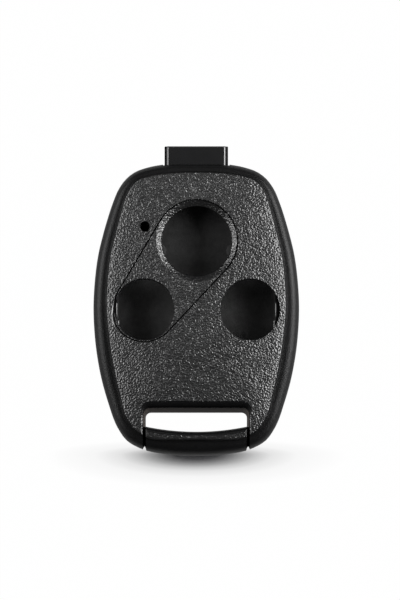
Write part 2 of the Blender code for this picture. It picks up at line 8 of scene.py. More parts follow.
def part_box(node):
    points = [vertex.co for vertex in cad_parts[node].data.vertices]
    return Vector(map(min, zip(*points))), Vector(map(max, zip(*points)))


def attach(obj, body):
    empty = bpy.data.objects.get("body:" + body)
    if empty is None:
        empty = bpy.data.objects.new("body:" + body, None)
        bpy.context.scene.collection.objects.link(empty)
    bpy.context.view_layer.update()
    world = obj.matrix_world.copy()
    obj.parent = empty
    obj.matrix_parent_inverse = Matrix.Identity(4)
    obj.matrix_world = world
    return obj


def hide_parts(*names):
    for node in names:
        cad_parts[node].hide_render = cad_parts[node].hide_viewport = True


# Empty shell of a three-button car remote key, lying on its back.
# Pieces are drawn in millimetres about the centre of the head, with the back at height 0, and go into
# the frame when they are finished.

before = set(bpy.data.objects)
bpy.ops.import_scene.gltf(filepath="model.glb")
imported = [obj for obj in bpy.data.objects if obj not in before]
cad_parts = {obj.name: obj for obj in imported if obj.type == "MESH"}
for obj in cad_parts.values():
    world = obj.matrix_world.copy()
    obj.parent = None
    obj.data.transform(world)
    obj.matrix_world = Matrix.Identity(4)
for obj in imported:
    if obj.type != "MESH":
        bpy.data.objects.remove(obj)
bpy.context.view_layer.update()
shellLength, headLength = 0.05718, 0.054
headCentre = (headLength - shellLength) / 2
intoFrame = Matrix.Translation((0, headCentre, 0)) @ Matrix.Scale(0.001, 4)
intoHead = intoFrame.inverted()
print("frame loaded")


def nodeBox(name):
    # two corners of a CAD node, in the head's millimetres
    return [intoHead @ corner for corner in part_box(name)]


# Shader maths: an expression on wires adds its Math nodes

class Wire:
    def __init__(self, finish, socket):
        self.finish = finish
        self.socket = socket

    def maths(self, operation, *values):
        return self.finish.add("ShaderNodeMath", {"operation": operation}, dict(enumerate(values)))

    def __add__(self, other):
        return self.maths("ADD", self, other)

    def __radd__(self, other):
        return self.maths("ADD", other, self)

    def __sub__(self, other):
        return self.maths("SUBTRACT", self, other)

    def __rsub__(self, other):
        return self.maths("SUBTRACT", other, self)

    def __mul__(self, other):
        return self.maths("MULTIPLY", self, other)

    def __rmul__(self, other):
        return self.maths("MULTIPLY", other, self)


class Finish:
    def __init__(self, name, **constants):
        self.material = bpy.data.materials.new(name)
        self.material.use_nodes = True
        self.nodes = self.material.node_tree.nodes
        self.links = self.material.node_tree.links
        self.shader = self.nodes["Principled BSDF"]
        for socket, value in constants.items():
            self.shader.inputs[socket.replace("_", " ")].default_value = value

    def add(self, kind, settings=None, sockets=None, output=0):
        node = self.nodes.new(kind)
        for key, value in (settings or {}).items():
            if key == "stops":
                self.setStops(node.color_ramp, value)
            else:
                setattr(node, key, value)
        for key, value in (sockets or {}).items():
            self.join(value, node.inputs[key])
        return Wire(self, node.outputs[output])

    def join(self, value, socket):
        if isinstance(value, Wire):
            self.links.new(value.socket, socket)
        else:
            socket.default_value = value

    def setStops(self, ramp, stops):
        while len(ramp.elements) < len(stops):
            ramp.elements.new(1.0)
        for element, (place, level) in zip(ramp.elements, stops):
            element.position = place
            element.color = (level, level, level, 1.0)

    def feed(self, **values):
        for socket, value in values.items():
            self.join(value, self.shader.inputs[socket.replace("_", " ")])

    def millimetres(self, stretch=(1, 1, 1)):
        # object coordinates in millimetres, closer together where they are stretched
        place = self.add("ShaderNodeTexCoord", output="Object")
        sockets = {"Vector": place, "Scale": [1000 * share for share in stretch]}
        return self.add("ShaderNodeMapping", {"vector_type": "POINT"}, sockets)

    def noise(self, place, scale, detail=2.0, roughness=0.5):
        sockets = {"Vector": place, "Scale": scale, "Detail": detail, "Roughness": roughness}
        return self.add("ShaderNodeTexNoise", None, sockets)

    def cells(self, place, scale):
        sockets = {"Vector": place, "Scale": scale, "Randomness": 1.0}
        return self.add("ShaderNodeTexVoronoi", {"feature": "F1"}, sockets)

    def parts(self, place):
        # X and Y of a place
        node = self.nodes.new("ShaderNodeSeparateXYZ")
        self.links.new(place.socket, node.inputs[0])
        return Wire(self, node.outputs[0]), Wire(self, node.outputs[1])

    def ramp(self, value, *stops):
        return self.add("ShaderNodeValToRGB", {"stops": stops}, {"Fac": value})

    def blend(self, factor, first, second):
        sockets = {0: factor, 6: (*first, 1.0), 7: (*second, 1.0)}
        return self.add("ShaderNodeMix", {"data_type": "RGBA"}, sockets, output=2)

    def relief(self, height, depth):
        # a Bump node whose depth is in millimetres
        return self.add("ShaderNodeBump", None, {"Height": height, "Distance": depth / 1000})


# The cover's grained finish: crinkled ridges about half a millimetre apart, their tops polished by use;
# the base colour is darker in the pits between the ridges, painted shade, and lighter on the tops

grain = {
    "colours": ((0.004, 0.004, 0.0042), (0.011, 0.011, 0.0114)),
    "crinkle": (3.1, 1.0, 0.5),
    "tops": ((0.36, 0.0), (0.64, 1.0)),
    "pebbles": 2.4,
    "pebbleShare": 0.15,
    "patches": (0.16, 2.0),
    "leastTopLightening": 0.4,
    "roughness": (0.34, 0.05, 0.05),
    "faceDepth": 0.20,
    "barDepth": 0.18,
}


def makeGrain(name, depth):
    finish = Finish(name, IOR=2.0)
    place = finish.millimetres()
    crinkle = finish.noise(place, *grain["crinkle"])
    pebbles = finish.cells(place, grain["pebbles"])
    patches = finish.noise(place, *grain["patches"])
    tops = finish.ramp(crinkle, *grain["tops"])
    plain, byTops, byPatches = grain["roughness"]
    finish.feed(
        # base colour: dark in the pits, painted shade, lighter on the ridge tops
        Base_Color=finish.blend(tops * (grain["leastTopLightening"] + patches), *grain["colours"]),
        Roughness=plain - tops * byTops + patches * byPatches,
        Normal=finish.relief(crinkle + pebbles * grain["pebbleShare"], depth),
    )
    return finish.material


# The other finishes. Patches mottle each between its two colours, and a fine skin is its relief, to a
# depth in millimetres. Both are noises: scale, detail and roughness. The finish's own roughness is a
# plain level, what the patches add and what the skin adds.

finishTable = {
    # smooth moulded rim: matt skin and faint rubbing marks
    "satin_rim": {
        "shader": {"Specular_IOR_Level": 0.25},
        "colours": ((0.0028, 0.0028, 0.003), (0.0055, 0.0055, 0.0058)),
        "patches": (0.22, 3.0),
        "skin": (5.0, 2.0, 0.7),
        "roughness": (0.32, 0.08, 0.06),
        "depth": 0.05,
    },
    "inside_plastic": {
        "shader": {"Specular_IOR_Level": 0.1},
        "colours": ((0.004, 0.004, 0.004), (0.0028, 0.0028, 0.003)),
        "patches": (0.3, 2.0),
        "skin": (6.0, 2.0),
        "roughness": (0.6, 0.15, 0.0),
        "depth": 0.012,
    },
    # lining of the key-ring slot: a pale brown-grey on the black wall, painted light, with streaky
    # patches
    "slot_lining_painted_light": {
        "colours": ((0.12, 0.100, 0.086), (0.17, 0.138, 0.118)),
        "patches": (1.4, 3.0),
        "patchStretch": (0.4, 3.0, 1.0),
        "skin": (7.0, 2.0),
        "roughness": (0.46, 0.14, 0.0),
        "depth": 0.01,
    },
    "gloss_stub": {
        "shader": {"IOR": 1.65},
        "colours": ((0.013, 0.013, 0.0135), (0.018, 0.018, 0.0185)),
        "patches": (0.35, 3.0),
        "skin": (3.0, 2.0),
        "roughness": (0.09, 0.05, 0.0),
        "depth": 0.002,
    },
    # matt tray: spark-eroded skin with a little dust on its floor; its grey, lighter than the covers'
    # black, is painted light on the floor seen through the button holes
    "tray_plastic": {
        "shader": {"Specular_IOR_Level": 0.15},
        "colours": ((0.046, 0.046, 0.046), (0.074, 0.074, 0.074)),
        "patches": (0.55, 4.0, 0.65),
        "patchStops": ((0.35, 0.0), (0.75, 1.0)),
        "skin": (5.0, 3.0, 0.6),
        "roughness": (0.62, 0.1, 0.0),
        "depth": 0.03,
    },
    # edges polished by use: the tray's pads and the lip of the engraved line
    "polished_edge": {
        "shader": {"IOR": 1.8},
        "colours": ((0.004, 0.004, 0.004), (0.046, 0.046, 0.046)),
        "patches": (4.0, 2.0),
        "skin": (4.0, 2.0),
        "roughness": (0.24, 0.12, 0.0),
        "depth": 0.004,
    },
    # rolled plate: brushed along X, with darker stains
    "pressed_steel": {
        "shader": {"Metallic": 1.0},
        "colours": ((0.44, 0.43, 0.42), (0.62, 0.62, 0.63)),
        "patches": (0.5, 3.0),
        "skin": (2.0, 4.0),
        "skinStretch": (0.15, 6.0, 6.0),
        "roughness": (0.24, 0.0, 0.22),
        "depth": 0.006,
    },
    # zinc-plated screws: soft mottled lustre
    "plated_steel": {
        "shader": {"Metallic": 1.0},
        "colours": ((0.47, 0.46, 0.45), (0.66, 0.66, 0.68)),
        "patches": (2.6, 3.0),
        "skin": (12.0, 2.0),
        "roughness": (0.20, 0.16, 0.0),
        "depth": 0.004,
    },
}


def makeFinish(name):
    values = finishTable[name]
    finish = Finish(name, **values.get("shader", {}))
    even = (1, 1, 1)
    patches = finish.noise(finish.millimetres(values.get("patchStretch", even)), *values["patches"])
    if "patchStops" in values:
        patches = finish.ramp(patches, *values["patchStops"])
    fine = finish.noise(finish.millimetres(values.get("skinStretch", even)), *values["skin"])
    roughness, byPatches, bySkin = values["roughness"]
    if byPatches:
        roughness = roughness + patches * byPatches
    if bySkin:
        roughness = roughness + fine * bySkin
    finish.feed(
        Base_Color=finish.blend(patches, *values["colours"]),
        Roughness=roughness,
        Normal=finish.relief(fine, values["depth"]),
    )
    return finish.material


satinRim = makeFinish("satin_rim")
grainedFace = makeGrain("grained_face", grain["faceDepth"])
grainedBar = makeGrain("grained_bar", grain["barDepth"])
insidePlastic = makeFinish("inside_plastic")
paintedLightLining = makeFinish("slot_lining_painted_light")
glossStub = makeFinish("gloss_stub")
trayPlastic = makeFinish("tray_plastic")
polishedEdge = makeFinish("polished_edge")
pressedSteel = makeFinish("pressed_steel")
platedSteel = makeFinish("plated_steel")
coverFinishes = [satinRim, grainedFace, insidePlastic, paintedLightLining, grainedBar, polishedEdge]
smooth, grained, inner, paintedLining, coarse, polished = range(6)
print("finishes made")


# The head's outline and the domed face, a micrometre inside the frame's

head = {
    "width": 37.999,
    "length": 53.999,
    "parting": 6.5,
    "seam": 0.15,
    "seamEdge": 0.12,
    "lipHeight": 0.9,
    "lipWall": 0.65,
    "backRound": (3.4, 4.4),
    "sideBand": 0.9,
    "rimWidth": 2.32,
    "rimRise": 3.2,
    "rimFullness": 0.76,
    "stepHeight": 0.7,
    "stepLean": 0.12,
    "stepFillet": 0.12,
    "edgeRound": 0.24,
    "faceRise": 1.688,
    "domeRings": 14,
    "domeSpan": 0.93,
    "domeSpread": 0.9,
    "wall": 1.6,
    "haunch": 1.5,
    # bends inside: the haunch's, aside and down, and the ceiling's
    "insideBends": (0.35, 0.3, 0.25),
    "ceilingRings": (0.75, 0.5, 0.25),
    "sides": 192,
}
# right half of the outline from the top to the bottom, in shares of the half width and half length
outlineShares = [
    (0.0, 1.0), (0.31, 0.995), (0.486, 0.971), (0.591, 0.944), (0.691, 0.889), (0.748, 0.834),
    (0.815, 0.725), (0.866, 0.615), (0.910, 0.506), (0.948, 0.396), (0.982, 0.232), (1.0, 0.012),
    (0.984, -0.207), (0.937, -0.426), (0.853, -0.645), (0.763, -0.810), (0.681, -0.892),
    (0.551, -0.947), (0.263, -0.991), (0.0, -1.0),
]
# width of the smooth rim: shares of the half turn from the top, and of rimWidth
rimShares = [
    (0.0, 0.64), (0.05, 0.68), (0.10, 0.68), (0.139, 0.63), (0.168, 0.75), (0.20, 0.83),
    (0.33, 0.93), (0.5, 1.0), (0.61, 1.095), (0.75, 1.086), (0.817, 0.98), (0.855, 1.08),
    (0.885, 0.98), (0.94, 1.14), (1.0, 1.25),
]
shoulder = head["parting"] + head["sideBand"]
foot = shoulder + head["rimRise"]
faceEdge = foot + head["stepHeight"]
crown = faceEdge + head["faceRise"]
ceiling = faceEdge - head["wall"]
cavityInset = head["wall"] + head["haunch"]
# tools reach this far past the surfaces that they cut
beyond = 3.0
overhead = crown + beyond


def throughPoints(table, at):
    # smooth curve through (place, value) pairs, mirrored at both ends
    before = (2 * table[0][0] - table[1][0], table[1][1])
    after = (2 * table[-1][0] - table[-2][0], table[-2][1])
    points = [before, *table, after]
    k = 1
    while k < len(points) - 3 and at > points[k + 1][0]:
        k += 1
    spans = [points[k + n + 1][0] - points[k + n][0] for n in (-1, 0, 1)]
    slopes = [(points[k + n + 1][1] - points[k + n][1]) / spans[n + 1] for n in (-1, 0, 1)]
    start = (slopes[0] * spans[1] + slopes[1] * spans[0]) / (spans[0] + spans[1])
    end = (slopes[1] * spans[2] + slopes[2] * spans[1]) / (spans[1] + spans[2])
    t = (at - points[k][0]) / spans[1]
    rest = 1 - t
    fromStart = points[k][1] * (1 + 2 * t) + start * spans[1] * t
    fromEnd = points[k + 1][1] * (1 + 2 * rest) - end * spans[1] * rest
    return fromStart * rest * rest + fromEnd * t * t


outlinePoints = [(x * head["width"] / 2, y * head["length"] / 2) for x, y in outlineShares]
outlineTable = [(math.atan2(x, y), math.hypot(x, y)) for x, y in outlinePoints]
rimTable = [(turn * math.pi, share * head["rimWidth"]) for turn, share in rimShares]


def folded(angle):
    return min(abs(math.remainder(angle, math.tau)), math.pi)


def headRadius(angle):
    return throughPoints(outlineTable, folded(angle))


def rimWidth(angle):
    return throughPoints(rimTable, folded(angle))


def insetRadius(angle, inset):
    # radius along the ray that lies the inset inside the outline, measured square to it
    step = 0.001
    turn = folded(angle)
    change = headRadius(turn + step) - headRadius(turn - step)
    return headRadius(turn) - inset * math.hypot(1, change / (2 * step * headRadius(turn)))


def faceRadius(angle):
    return insetRadius(angle, rimWidth(angle) + head["stepLean"])


def faceHeight(x, y):
    share = math.hypot(x, y) / faceRadius(math.atan2(x, y))
    return faceEdge + head["faceRise"] * (1 - share * share)


def lowerOutline(x):
    # y of the lower side of the outline at x, by halving
    side, middle = math.pi / 2, math.pi
    for halving in range(40):
        angle = (side + middle) / 2
        if headRadius(angle) * math.sin(angle) > abs(x):
            side = angle
        else:
            middle = angle
    return headRadius(middle) * math.cos(middle)


def onDome(place, up):
    return place.x, place.y, faceHeight(place.x, place.y) + up


def insetBand(inset, height, finish, rimShare=0.0):
    # one ring of a skin: where it runs, how high, and the finish of the band that leads to it
    def radius(angle):
        return insetRadius(angle, inset + rimShare * rimWidth(angle))

    return radius, lambda x, y: height, finish


def domeBand(share, finish):
    return (lambda angle: faceRadius(angle) * share), faceHeight, finish


def roundArc(size, steps, first=1, last=None):
    # (out, down) places of a quarter round, from the top of its side to the edge of its face
    turns = [math.pi / 2 * k / steps for k in range(first, (steps if last is None else last + 1))]
    return [(size * (1 - math.cos(turn)), size * (1 - math.sin(turn))) for turn in turns]


def rimBands(first, edge, dome):
    # from the side over the rounded rim, up the step and over the dome
    bands = [insetBand(0, shoulder, first)]
    fullness = head["rimFullness"]
    for out, down in roundArc(1, 10):
        rise, share = (1 - down) ** fullness, 1 - (1 - out) ** fullness
        bands.append(insetBand(0, shoulder + head["rimRise"] * rise, first, rimShare=share))
    fillet = head["stepFillet"]
    for out, up in ((1, 0), (0.3, 0.3), (0, 1)):
        bands.append(insetBand(-fillet * out, foot + fillet * up, first, rimShare=1))
    for out, drop in roundArc(edge, 4, first=0):

        def radius(angle, inset=head["stepLean"] + out):
            return insetRadius(angle, rimWidth(angle) + inset)

        bands.append((radius, lambda x, y, drop=drop: faceHeight(x, y) - drop, first))
    rings = head["domeRings"]
    for k in range(rings):
        inward = head["domeSpan"] * (k / (rings - 1)) ** head["domeSpread"]
        bands.append(domeBand(1 - edge / (head["width"] / 2) - inward, dome))
    return bands


# Modelling helpers

def placed(name, data):
    obj = bpy.data.objects.new(name, data)
    bpy.context.scene.collection.objects.link(obj)
    return obj


def finishedBmesh(name, bm, finishes=coverFinishes):
    mesh = bpy.data.meshes.new(name)
    bm.to_mesh(mesh)
    bm.free()
    for finish in finishes:
        mesh.materials.append(finish)
    return placed(name, mesh)


def dress(bm, index):
    # normals outwards, and each face's finish: a number, or a rule from the middle of the face
    bmesh.ops.recalc_face_normals(bm, faces=bm.faces)
    for face in bm.faces:
        face.material_index = index(face.calc_center_median()) if callable(index) else index


def roundEdges(bm, edges, size, segments):
    bmesh.ops.bevel(
        bm,
        geom=edges,
        offset=size,
        offset_type="OFFSET",
        affect="EDGES",
        segments=segments,
        profile=0.5,
        material=-1,
    )


def skin(name, bands, finishes=coverFinishes):
    # closed form over a stack of rings, each grown from the last by extrusion
    bm = bmesh.new()
    ring = bmesh.ops.create_circle(bm, cap_ends=True, segments=head["sides"], radius=1.0)["verts"]
    edges = list(bm.edges)
    for k, (radius, height, finish) in enumerate(bands):
        if k:
            grown = bmesh.ops.extrude_edge_only(bm, edges=edges)["geom"]
            ring = [v for v in grown if isinstance(v, bmesh.types.BMVert)]
            onRing = set(ring)
            newEdges = [e for e in grown if isinstance(e, bmesh.types.BMEdge)]
            edges = [e for e in newEdges if onRing.issuperset(e.verts)]
            for face in (f for f in grown if isinstance(f, bmesh.types.BMFace)):
                face.material_index = finish
        for vert in ring:
            angle = math.atan2(vert.co.x, vert.co.y)
            reach = radius(angle)
            vert.co.x, vert.co.y = reach * math.sin(angle), reach * math.cos(angle)
            vert.co.z = height(vert.co.x, vert.co.y)
    cap = bmesh.ops.contextual_create(bm, geom=edges)["faces"]
    for face in cap:
        face.material_index = bands[-1][2]
    centre = bmesh.ops.poke(bm, faces=cap)["verts"][0]
    centre.co = (0, 0, bands[-1][1](0, 0.001))
    bmesh.ops.recalc_face_normals(bm, faces=bm.faces)
    return finishedBmesh(name, bm, finishes)


def block(name, low, high, finishes=coverFinishes, index=smooth, edge=0.0, segments=3, edgeIndex=None):
    # box between two corners, with its edges rounded, which may have a finish of their own
    bm = bmesh.new()
    bmesh.ops.create_cube(bm, size=1.0)
    size = Vector(high) - Vector(low)
    bmesh.ops.scale(bm, vec=size, verts=bm.verts)
    bmesh.ops.translate(bm, vec=Vector(low) + size / 2, verts=bm.verts)
    if edge:
        roundEdges(bm, list(bm.edges), edge, segments)
    for face in bm.faces:
        flat = max(abs(part) for part in face.normal) > 0.99
        face.material_index = index if flat or edgeIndex is None else edgeIndex
    return finishedBmesh(name, bm, finishes)


def turned(name, profile, centre, index=smooth, steps=64, tilt=(0, 0), finishes=coverFinishes):
    # turned form: (radius, height) points from the foot of the axis to its top
    bm = bmesh.new()
    verts = [bm.verts.new((radius, 0, height)) for radius, height in profile]
    edges = [bm.edges.new(pair) for pair in zip(verts, verts[1:])]
    axis = (0, 0, 1)
    bmesh.ops.spin(bm, geom=verts + edges, axis=axis, angle=math.tau, steps=steps, use_merge=True)
    bmesh.ops.remove_doubles(bm, verts=bm.verts, dist=0.0005)
    dress(bm, index)
    turn = Matrix.Rotation(tilt[0], 4, "X") @ Matrix.Rotation(tilt[1], 4, "Y")
    bmesh.ops.transform(bm, matrix=Matrix.Translation(centre) @ turn, verts=bm.verts)
    return finishedBmesh(name, bm, finishes)


def cylinder(name, radius, low, high, centre, index=smooth, steps=64, finishes=coverFinishes):
    profile = [(0, low), (radius, low), (radius, high), (0, high)]
    return turned(name, profile, centre, index, steps, finishes=finishes)


def prism(name, points, low, high):
    # flat outline drawn upwards
    return swept(name, [[(x, y, z) for x, y in points] for z in (low, high)], smooth)


def swept(name, sections, index, finishes=coverFinishes):
    # closed section carried along a row of places
    bm = bmesh.new()
    face = bm.faces.new([bm.verts.new(point) for point in sections[0]])
    for k, section in enumerate(sections[1:]):
        grown = bmesh.ops.extrude_face_region(bm, geom=[face])["geom"]
        if k:
            bmesh.ops.delete(bm, geom=[face], context="FACES_ONLY")
        face = next(part for part in grown if isinstance(part, bmesh.types.BMFace))
        for vert, place in zip(face.verts, section):
            vert.co = place
    dress(bm, index)
    return finishedBmesh(name, bm, finishes)


def shape(operation, target, tools):
    # Boolean of the target with each tool in turn
    for tool in tools:
        modifier = target.modifiers.new(tool.name, "BOOLEAN")
        modifier.operation = operation
        modifier.object = tool
    return target


def carve(target, *tools):
    return shape("DIFFERENCE", target, tools)


def unite(target, *tools):
    return shape("UNION", target, tools)


def evaluated(obj):
    bpy.context.view_layer.update()
    graph = bpy.context.evaluated_depsgraph_get()
    return bpy.data.meshes.new_from_object(obj.evaluated_get(graph))


def settle(obj):
    # the modifiers' result becomes the mesh, and the tools go
    mesh = evaluated(obj)
    tools = [modifier.object for modifier in obj.modifiers]
    obj.modifiers.clear()
    obj.data = mesh
    for tool in tools:
        bpy.data.objects.remove(tool)
    return obj


cleaning = {"shortest": 0.002, "sharpAngle": 32}


def cleaned(obj):
    # slivers and loose edges that the Booleans leave go, and single faces that they drop come back
    bm = bmesh.new()
    bm.from_mesh(obj.data)
    bmesh.ops.remove_doubles(bm, verts=bm.verts, dist=cleaning["shortest"])
    bmesh.ops.dissolve_degenerate(bm, edges=bm.edges, dist=cleaning["shortest"])
    loose = [edge for edge in bm.edges if not edge.link_faces]
    bmesh.ops.delete(bm, geom=loose, context="EDGES")
    gaps = [edge for edge in bm.edges if edge.is_boundary]
    for face in bmesh.ops.holes_fill(bm, edges=gaps, sides=4)["faces"]:
        beside = [other for edge in face.edges for other in edge.link_faces if other is not face]
        face.material_index = beside[0].material_index
    bmesh.ops.recalc_face_normals(bm, faces=bm.faces)
    bm.to_mesh(obj.data)
    bm.free()


def hand(obj, node, body):
    # into the frame: millimetres become metres, and the piece takes the place of its node
    cleaned(obj)
    obj.data.transform(intoFrame)
    for polygon in obj.data.polygons:
        polygon.use_smooth = True
    obj.data.set_sharp_from_angle(angle=math.radians(cleaning["sharpAngle"]))
    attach(obj, body)
    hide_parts(node)
    print(node, "made:", len(obj.data.polygons), "faces")


# Places shared by the two covers

slot = {
    "halfWidth": 9.86,
    "top": -18.09,
    "corner": 1.3,
    "fillet": 1.3,
    "sideFillet": 0.4,
    "draftLow": 0.6,
    "draftLand": 0.08,
    "backHalfWidth": 9.40,
    "backTop": -19.15,
    "backCorner": 1.0,
    "frontCorner": 1.25,
    "liningWall": 1.2,
    "liningFrom": 0.4,
    "filletEnd": -24.2,
    # how far the fillet's tool goes back into the slot and above the face, and its brim in fillets
    "filletReach": (0.4, 0.5, 1.05),
}
bar = {
    "edge": -22.69,
    "arc": 46.5,
    "slit": 0.56,
    "edgeRound": 0.6,
    "rise": 0.12,
    "roundReach": (0.5, 1.3, 0.25),
    "stepRound": 0.4,
    "endLean": (0.3, 0.2),
    "endReach": (0.2, 0.4, 0.1),
    "leanEnd": -24.3,
    "notch": (0.7, 0.65),
    "notchTaper": (0.2, 0.75),
}
stub = {
    "halfWidth": 5.86,
    "thickness": 5.4,
    "reach": 3.18,
    "shoulder": 0.6,
    "ledge": (0.34, 1.1),
    "edge": 0.2,
    "gap": 0.3,
}
coverScrew = {
    "headRadius": 1.75,
    "headHeight": 1.2,
    "sunk": 0.35,
    "shankRadius": 0.9,
    "bossWall": 0.8,
    "bossLow": 4.0,
    "bossEdge": 0.15,
    "bossRoom": 0.4,
    "pillarWall": 0.7,
    "boreEdge": 0.12,
}
liningHalfWidth = slot["halfWidth"] + slot["liningWall"]
liningTop = slot["top"] + slot["liningWall"]
boreRadius = coverScrew["shankRadius"] + stub["gap"]
bossRadius = boreRadius + coverScrew["bossWall"]
screwY = liningTop + coverScrew["bossRoom"] + bossRadius
stubLow = head["parting"] - stub["thickness"] / 2
stubTop = head["parting"] + stub["thickness"] / 2


def upperCorners(halfWidth, top, corner, steps=10):
    # places round the two upper corners of a slot, each with the way out of the slot
    places = []
    for side in (1, -1):
        centre = Vector((side * (halfWidth - corner), top - corner))
        for k in range(steps + 1):
            turn = math.pi / 2 * (k if side > 0 else steps - k) / steps
            way = Vector((side * math.cos(turn), math.sin(turn)))
            places.append((centre + corner * way, way))
    return places


def roundedTop(halfWidth, top, corner, below):
    # outline of a slot with two round upper corners, closed by the points below
    return [tuple(place) for place, way in upperCorners(halfWidth, top, corner)] + below


def roomBelow(halfWidth, top):
    # room for all that lies within the half width and below the top, at every height
    low = (-halfWidth, -head["length"], -beyond)
    return block("room_below", low, (halfWidth, top, overhead))


def barEdge(x):
    return bar["edge"] + bar["arc"] - math.sqrt(bar["arc"] ** 2 - x * x)


def barEdgePoints(halfWidth, steps=24):
    return [(x, barEdge(x)) for x in (halfWidth * (2 * k / steps - 1) for k in range(steps + 1))]


def stubWindow(name, low, high):
    half = stub["halfWidth"] + stub["gap"]
    start = head["length"] / 2 - cavityInset - stub["gap"]
    return block(name, (-half, start, low), (half, head["length"], high), index=inner)


# Front cover

faceHoles = {
    "topRadius": 6.45,
    "topOut": 0.1,
    "topUp": 12.69,
    "dishWidth": 1.03,
    "dishDepth": 0.9,
    # the dish's lower edge, out from the hole and up, and its upper edge in shares of width and depth
    "dishBottom": ((0, -0.12), (0.05, 0.02), (0.16, 0.11)),
    "dishBrim": ((0.9, 0.14), (1, 0.04), (1.12, -0.02)),
    "dishSunk": 0.12,
    "grainFrom": 0.1,
    "sideRadius": 5.5,
    "sideOut": (-9.57, 9.93),
    "sideUp": 0.07,
    "edge": 0.2,
    "edgeSkirt": 0.3,
    "edgeBrim": 1.15,
    "lampRadius": 0.89,
    "lampOut": 9.45,
    "lampUp": 15.33,
    "lampEdge": 0.1,
    "lampCollar": (0.7, 6.8),
    "lineTop": 7.6,
    "lineLeft": 5.95,
    "lineDent": (0.36, 3.05, 0.75),
    "lineWidth": 0.32,
    "lineDepth": 0.22,
    "lipWidth": 0.28,
    "lipDepth": 0.25,
    "lipTurns": (2.75, 4.15),
    "lipLeast": 0.1,
    "lipOverlap": 0.1,
    "lipBrim": 1.2,
}


def slopeAt(x, y, reach):
    # turn about X and Y that lays a tool square to the dome
    alongY = (faceHeight(x, y + reach) - faceHeight(x, y - reach)) / (2 * reach)
    alongX = (faceHeight(x + reach, y) - faceHeight(x - reach, y)) / (2 * reach)
    return math.atan(alongY), -math.atan(alongX)


def holeTool(name, x, y, radius):
    return cylinder(name, radius, head["parting"], overhead, (x, y, 0), steps=96)


def edgeTool(name, x, y, radius, edge):
    # flare that rounds the rim of a hole
    skirt, brim = edge * faceHoles["edgeSkirt"], radius + edge * faceHoles["edgeBrim"]
    profile = [(0, -edge - skirt), (radius - skirt, -edge - skirt), (radius, -edge)]
    profile += [(radius + out, -down) for out, down in roundArc(edge, 4)]
    profile += [(brim, 0), (brim, beyond), (0, beyond)]
    ring = [(x + radius * math.cos(k), y + radius * math.sin(k)) for k in range(6)]
    ringHeight = sum(faceHeight(*place) for place in ring) / len(ring)
    return turned(name, profile, (x, y, ringHeight), steps=96, tilt=slopeAt(x, y, radius))


def dishTool():
    # the sloping ring round the top hole, with soft edges
    radius, width, depth = faceHoles["topRadius"], faceHoles["dishWidth"], faceHoles["dishDepth"]
    bottom = [(radius + out, up - depth) for out, up in faceHoles["dishBottom"]]
    brim = [(radius + width * out, -depth * down) for out, down in faceHoles["dishBrim"]]
    profile = [(0, bottom[0][1]), *bottom, *brim, (brim[-1][0], beyond), (0, beyond)]
    x, y = faceHoles["topOut"], faceHoles["topUp"]
    centre = (x, y, faceHeight(x, y) - faceHoles["dishSunk"])

    def index(middle):
        outward = math.hypot(middle.x, middle.y) - radius
        return grained if outward > faceHoles["grainFrom"] > middle.z else smooth

    return turned("dish_tool", profile, centre, index, steps=96, tilt=slopeAt(x, y, radius))


def lineReach(turn):
    # radius of the line's arc about the left hole, which runs closer to the hole on its outer side
    dent, middle, spread = faceHoles["lineDent"]
    share = min(abs(turn % math.tau - middle) / spread, 1)
    return faceHoles["lineLeft"] - dent * math.cos(math.pi / 2 * share) ** 2


def lineRoute(steps=40):
    # an arc round each hole and the two tangents between
    top = Vector((0, faceHoles["topUp"]))
    left = Vector((faceHoles["sideOut"][0], faceHoles["sideUp"]))
    along = left - top
    heading = math.atan2(along.y, along.x)
    spread = math.acos((faceHoles["lineTop"] - faceHoles["lineLeft"]) / along.length)
    route = []
    for k in range(steps + 1):
        turn = heading + spread + (math.tau - 2 * spread) * k / steps
        route.append(top + faceHoles["lineTop"] * Vector((math.cos(turn), math.sin(turn))))
    for k in range(steps // 2 + 1):
        turn = heading - spread + 2 * spread * k / (steps // 2)
        route.append(left + lineReach(turn) * Vector((math.cos(turn), math.sin(turn))))
    return route


def lineTool():
    # a wire along the route, sunk into the dome
    width, depth = faceHoles["lineWidth"], faceHoles["lineDepth"]
    curve = bpy.data.curves.new("line", "CURVE")
    curve.dimensions = "3D"
    curve.bevel_depth = width / 2
    curve.bevel_resolution = 1
    route = lineRoute()
    points = []
    for k, start in enumerate(route):
        end = route[(k + 1) % len(route)]
        pieces = max(1, math.ceil((end - start).length / 1.5))
        points += [start.lerp(end, n / pieces) for n in range(pieces)]
    spline = curve.splines.new("POLY")
    spline.points.add(len(points) - 1)
    for point, place in zip(spline.points, points):
        point.co = (*onDome(place, curve.bevel_depth - depth), 1)
    spline.use_cyclic_u = True
    guide = placed("line_guide", curve)
    bm = bmesh.new()
    bm.from_mesh(evaluated(guide))
    bpy.data.objects.remove(guide)
    bmesh.ops.remove_doubles(bm, verts=bm.verts, dist=0.0005)
    dress(bm, inner)
    return finishedBmesh("line", bm)


def lipTool():
    # the polished outer lip of the line, left of the left hole, fading out at both ends
    centre = Vector((faceHoles["sideOut"][0], faceHoles["sideUp"]))
    start, end = faceHoles["lipTurns"]
    least, overlap, brim = faceHoles["lipLeast"], faceHoles["lipOverlap"], faceHoles["lipBrim"]
    steps = 32
    sections = []
    for k in range(steps + 1):
        share = k / steps
        turn = start + (end - start) * share
        way = Vector((math.cos(turn), math.sin(turn)))
        depth = faceHoles["lipDepth"] * (least + (1 - least) * math.sin(math.pi * share))
        width = depth * faceHoles["lipWidth"] / faceHoles["lipDepth"]
        edge = centre + way * (lineReach(turn) + faceHoles["lineWidth"] / 2)
        profile = [(-overlap, -depth), (0, -depth), (width, 0)]
        profile += [(width * brim, beyond), (-overlap, beyond)]
        sections.append([onDome(edge + way * out, up) for out, up in profile])
    return swept("line_lip", sections, polished)


